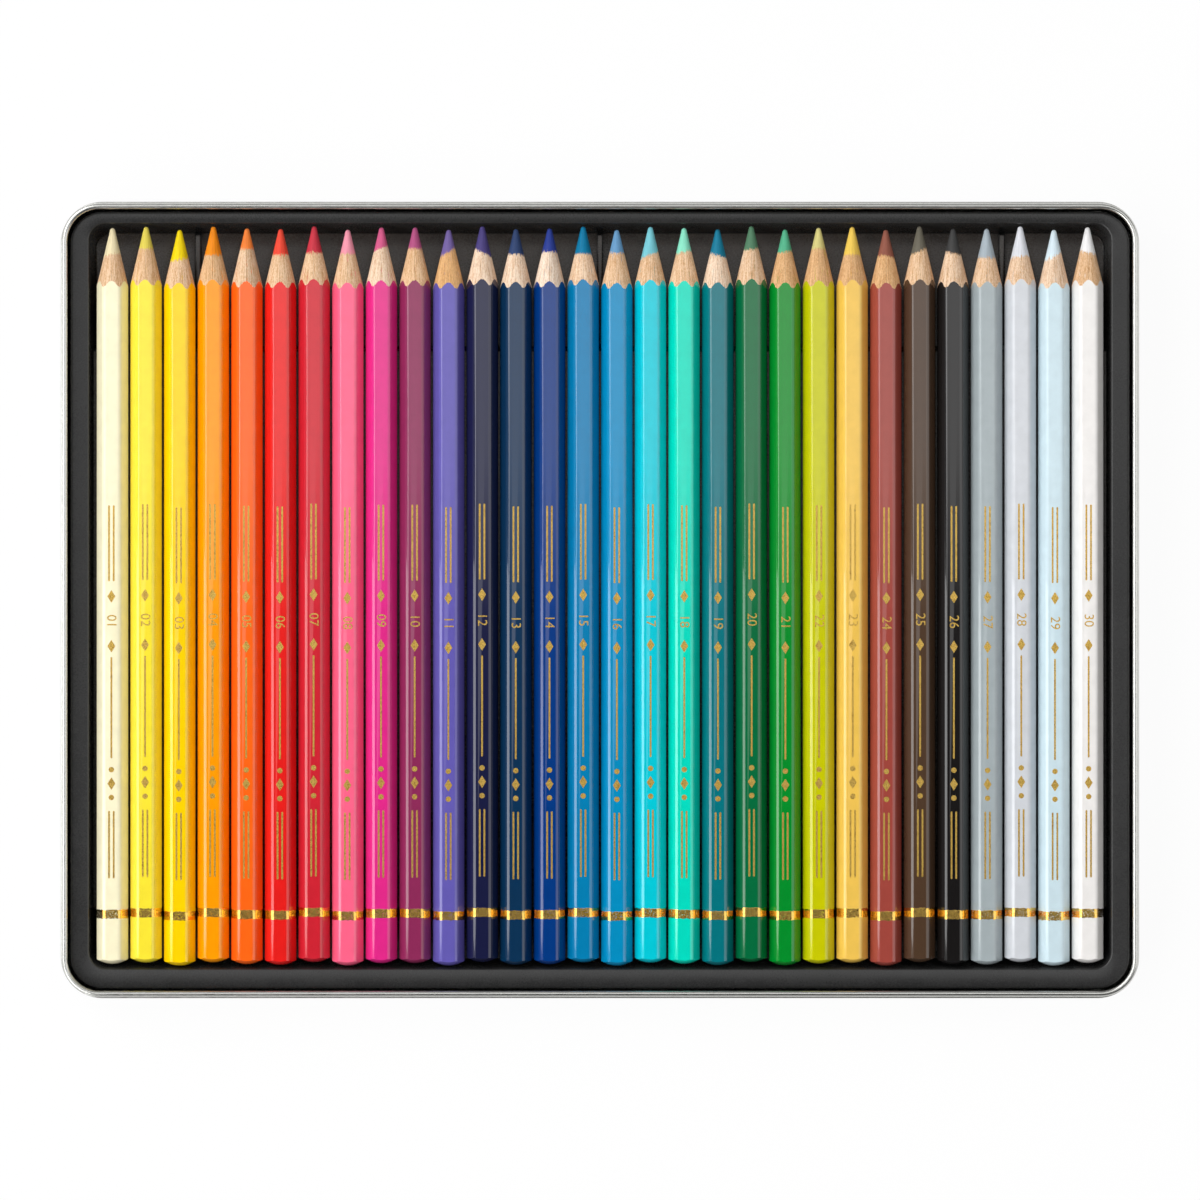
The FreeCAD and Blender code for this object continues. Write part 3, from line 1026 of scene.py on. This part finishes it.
def one_pencil_zones(tree, place, sizes, number, size):
    """Where one pencil's lead, bare wood and foil ring lie."""
    lead_shift, lead_more = PENCILS[number][3:5]
    chance = random.Random(100 + number)
    return placed(tree, kept_group("pencil_zones", pencil_zones), {
        "Place": place,
        "Lead Shift": (lead_shift, 0, chance.uniform(-0.05, 0.05)),
        "Lead Radius": sizes.lead_diameter / 2 / MM + lead_more,
        "Cone Slope": math.tan(sizes.half_angle),
        "Cone Start": (sizes.tip_radius / math.sin(sizes.half_angle) - sizes.tip_radius) / MM,
        "Ring Place": (size.y - sizes.ring_middle) / MM,
        "Ring Half Width": sizes.ring_width / 2 / MM,
        "Seed": pencil_seed(number),
    })


def one_pencil_wood(tree, place, fibre, finishes, number):
    """One pencil's wood, between warm and pale."""
    slat_tone, pale = PENCILS[number][5:]
    light = Vector(finishes.cedar).lerp(Vector(finishes.cedar_pale), pale)
    grain = Vector(finishes.cedar_deep).lerp(light, 0.35 * pale)
    return placed(tree, kept_group("cedar_grain", cedar_grain), {
        "Place": place,
        "Fibre": fibre,
        "Light": opaque(light),
        "Deep": opaque(grain),
        "Slat Tone": slat_tone,
        "Seed": pencil_seed(number),
    })


def pencil_finish(settings, number, size):
    """One pencil's lacquer, foil ring, sharpened wood and lead in one material."""
    colour = PENCILS[number][0]
    finishes = settings.finishes
    lacquer = getattr(settings.colours, "lacquer_" + colour)
    lead = getattr(settings.colours, "lead_" + colour)
    material, tree, shader = new_material("pencil_" + colour)
    place = add(tree, "Attribute", attribute_name=PENCIL_FIELD).outputs["Vector"]
    zones = one_pencil_zones(tree, place, settings.pencils, number, size)
    wood = one_pencil_wood(tree, place, zones["Fibre"], finishes, number)
    foil = gold_foil(tree, finishes, place)
    wax = vary(tree, zones["Fibre"])
    pale_lead = opaque([min(1.0, 1.14 * shade) for shade in lead])
    deep_lead = opaque([0.72 * shade for shade in lead])
    lead_colour = blend_colours(tree, wax, deep_lead, pale_lead)
    cloud = vary(tree, noise(tree, place, 0.35, 3.0))
    thin = opaque([0.93 * shade for shade in lacquer])
    paint = blend_colours(tree, cloud, thin, opaque(lacquer))
    surface = blend_colours(tree, zones["Ring"], paint, foil["Color"])
    surface = blend_colours(tree, zones["Wood"], surface, wood["Color"])
    surface = blend_colours(tree, zones["Lead"], surface, lead_colour)
    feed(tree, shader.inputs["Base Color"], surface)
    gloss = vary(tree, zones["Speckle"], 0.09, 0.13)
    rough = blend_values(tree, zones["Ring"], gloss, times(tree, foil["Roughness"], 0.5))
    rough = blend_values(tree, zones["Wood"], rough, 0.75)
    rough = blend_values(tree, zones["Lead"], rough, vary(tree, zones["Fibre"], 0.5, 0.66))
    feed(tree, shader.inputs["Roughness"], rough)
    bare = calc(tree, "MAXIMUM", zones["Wood"], zones["Lead"])
    painted = calc(tree, "SUBTRACT", 1.0, bare)
    feed(tree, shader.inputs["Metallic"], times(tree, zones["Ring"], painted))
    bright = times(tree, painted, calc(tree, "SUBTRACT", 1.0, zones["Ring"]))
    feed(tree, shader.inputs["Coat Weight"], bright)
    shader.inputs["Coat Roughness"].default_value = 0.03
    shader.inputs["Specular IOR Level"].default_value = 0.2
    relief = blend_values(tree, zones["Ring"], times(tree, cloud, 0.12), foil["Height"])
    relief = blend_values(tree, zones["Wood"], relief, wood["Height"])
    relief = blend_values(tree, zones["Lead"], relief, times(tree, wax, 0.8))
    bump(tree, shader, relief, 0.35, 0.04 * MM)
    return material


def floor_finish(finishes):
    """A plain pale floor that shows near white and keeps the shadow."""
    material, tree, shader = new_material("studio_floor")
    shader.inputs["Roughness"].default_value = 0.9
    cloud = noise(tree, add(tree, "TexCoord").outputs["Object"], 3.0, 2.0)
    shaded = opaque([0.98 * shade for shade in finishes.floor])
    feed(tree, shader.inputs["Base Color"], blend_colours(tree, cloud, opaque(finishes.floor), shaded))
    glow = add(tree, "Emission", {"Color": (1, 1, 1, 1), "Strength": 1.0}).outputs[0]
    rays = add(tree, "LightPath").outputs
    seen = calc(tree, "MAXIMUM", rays["Is Camera Ray"], rays["Is Glossy Ray"])
    seen = calc(tree, "MAXIMUM", seen, rays["Is Transmission Ray"])
    share = times(tree, seen, 0.94)
    mixed = add(tree, "MixShader", {0: share, 1: shader.outputs[0], 2: glow})
    tree.links.new(mixed.outputs[0], tree.nodes["Material Output"].inputs["Surface"])
    return material


def studio_lamp(name, level, size, place):
    """One soft rectangular lamp that faces the origin; its level is the brightness of its face."""
    data = bpy.data.lights.new(name, "AREA")
    data.shape = "RECTANGLE"
    data.size, data.size_y = size
    data.energy = level * math.pi * size[0] * size[1]
    lamp = bpy.data.objects.new(name, data)
    lamp.location = place
    aim = Vector() - Vector(place)
    lamp.rotation_euler = aim.to_track_quat("-Z", "Y").to_euler()
    bpy.context.collection.objects.link(lamp)
    return lamp


def studio_world(studio):
    """Soft light from all round, darker overhead than at the horizon, brightest over the points."""
    world = bpy.data.worlds.new("studio")
    world.use_nodes = True
    bpy.context.scene.world = world
    tree = world.node_tree
    direction = add(tree, "TexCoord").outputs["Generated"]
    parts = add(tree, "SeparateXYZ", {0: direction}).outputs
    level = spread(tree, parts["Z"], 0.1, 0.75, studio.horizon, studio.ceiling)
    near_side = spread(tree, parts["Y"], -0.003, 0.026)
    far_side = spread(tree, parts["Y"], 0.75, 0.45)
    beside = spread(tree, calc(tree, "ABSOLUTE", parts["X"]), 0.6, 0.3)
    patch = times(tree, times(tree, near_side, far_side), beside)
    patch = times(tree, patch, calc(tree, "GREATER_THAN", parts["Z"], 0.0))
    feed(tree, tree.nodes["Background"].inputs["Strength"], blend_values(tree, patch, level, studio.sheen))
    tree.nodes["Background"].inputs["Color"].default_value = (1, 1, 1, 1)


# Operators


class BuildStep:
    """What the operators share: each builds its own pieces from the scene's settings."""

    def execute(self, context):
        self.build(context.scene.pencil_box)
        return {"FINISHED"}


class PENCILBOX_OT_lid(BuildStep, Operator):
    """Models the slip lid that the tin stands in"""

    bl_idname = "pencil_box.lid"
    bl_label = "Slip lid"

    def build(self, settings):
        handed_over(slip_lid(settings.tin), "lid", tinplate(settings.finishes), "lid")


class PENCILBOX_OT_tin(BuildStep, Operator):
    """Models the tin with its rolled rim"""

    bl_idname = "pencil_box.tin"
    bl_label = "Tin"

    def build(self, settings):
        handed_over(tin_pan(settings.tin), "tin", tinplate(settings.finishes), "tin_base")


class PENCILBOX_OT_tray(BuildStep, Operator):
    """Models the moulded tray with its troughs and ribs"""

    bl_idname = "pencil_box.tray"
    bl_label = "Tray"

    def build(self, settings):
        material = tray_plastic(settings.finishes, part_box("pencil_tray")[1].z)
        handed_over(moulded_tray(settings.tray), "tray", material, "pencil_tray")


def pencil_nodes():
    """The pencils' nodes in their order along the row."""
    return [f"pencil_{number + 1:02d}_{entry[0]}" for number, entry in enumerate(PENCILS)]


def pencil_shift(node):
    """Where a pencil's butt end and axis lie."""
    low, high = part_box(node)
    return Vector(((low.x + high.x) / 2, low.y, (low.z + high.z) / 2))


def pencil_size(node):
    """A pencil's size across its edges, along its axis and across its flats."""
    low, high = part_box(node)
    return high - low


class PENCILBOX_OT_pencils(BuildStep, Operator):
    """Models one pencil and lays a copy of it in each place, in its own colour"""

    bl_idname = "pencil_box.pencils"
    bl_label = "Pencils"

    def build(self, settings):
        nodes = pencil_nodes()
        size = pencil_size(nodes[0])
        master = sharpened_pencil(settings.pencils, size)
        for number, node in enumerate(nodes):
            colour = PENCILS[number][0]
            pencil = moved_copy(master, "pencil_" + colour, pencil_shift(node))
            material = pencil_finish(settings, number, size)
            handed_over(pencil, node, material, node)
        bpy.data.objects.remove(master)


class PENCILBOX_OT_foil_marks(BuildStep, Operator):
    """Stamps plain lines, diamonds and a number in foil on each pencil"""

    bl_idname = "pencil_box.foil_marks"
    bl_label = "Foil marks"

    def build(self, settings):
        nodes = pencil_nodes()
        size = pencil_size(nodes[0])
        sizes = settings.pencils
        top = size.z / 2 - sizes.mark_depth / 2
        master = foil_shapes(sizes, top, size.y)
        material = foil_finish(settings.finishes)
        for number, node in enumerate(nodes):
            shapes = moved_copy(master, "foil_mark_" + PENCILS[number][0], Vector())
            mark = joined(shapes, foil_number(sizes, number + 1, top, size.y))
            edit_all(mark)
            bpy.ops.mesh.normals_make_consistent(inside=False)
            pull(z=1.5 * sizes.mark_depth)
            outwards(mark)
            mark.data.transform(Matrix.Translation(pencil_shift(node)))
            handed_over(mark, node, material)
        bpy.data.objects.remove(master)


class PENCILBOX_OT_stage(BuildStep, Operator):
    """Sets up the floor, the soft studio light and the camera"""

    bl_idname = "pencil_box.stage"
    bl_label = "Studio"

    def build(self, settings):
        studio = settings.studio
        scene = bpy.context.scene
        only()
        bpy.ops.mesh.primitive_plane_add(size=8, location=(0, 0, 0))
        floor = named("studio_floor")
        floor.data.materials.append(floor_finish(settings.finishes))
        studio_world(studio)
        for name, level, size, place in LAMPS:
            studio_lamp(name, getattr(studio, level), size, place)
        rim = CAD_BOX[1].z
        data = bpy.data.cameras.new("studio_camera")
        data.sensor_fit = "HORIZONTAL"
        data.sensor_width = 36.0
        data.lens = data.sensor_width * studio.camera_height / studio.view_width
        data.clip_start = 0.01
        camera = bpy.data.objects.new("studio_camera", data)
        camera.location = (0, 0, rim + studio.camera_height)
        scene.collection.objects.link(camera)
        scene.camera = camera
        scene.view_settings.view_transform = "Standard"


class PENCILBOX_PT_sidebar(Panel):
    """The pencil box's pieces in the sidebar"""

    bl_idname = "PENCILBOX_PT_sidebar"
    bl_label = "Pencil Box"
    bl_space_type = "VIEW_3D"
    bl_region_type = "UI"
    bl_category = "Pencil Box"

    def draw(self, context):
        for operator in OPERATORS:
            self.layout.operator(operator.bl_idname)


SETTING_GROUPS = (
    TinSizes, TraySizes, PencilSizes, FinishColours, PencilColours, StudioSettings, PencilBoxSettings,
)
OPERATORS = (
    PENCILBOX_OT_lid,
    PENCILBOX_OT_tin,
    PENCILBOX_OT_tray,
    PENCILBOX_OT_pencils,
    PENCILBOX_OT_foil_marks,
    PENCILBOX_OT_stage,
)


def register():
    """Makes the settings, operators and panel known."""
    for kind in SETTING_GROUPS + OPERATORS + (PENCILBOX_PT_sidebar,):
        bpy.utils.register_class(kind)
    bpy.types.Scene.pencil_box = PointerProperty(type=PencilBoxSettings)


def unregister():
    """Takes the settings, operators and panel away."""
    del bpy.types.Scene.pencil_box
    for kind in reversed(SETTING_GROUPS + OPERATORS + (PENCILBOX_PT_sidebar,)):
        bpy.utils.unregister_class(kind)


def main():
    """Builds the whole box."""
    register()
    bpy.ops.pencil_box.lid()
    bpy.ops.pencil_box.tin()
    bpy.ops.pencil_box.tray()
    bpy.ops.pencil_box.pencils()
    bpy.ops.pencil_box.foil_marks()
    bpy.ops.pencil_box.stage()
    only()


if __name__ == "__main__":
    main()
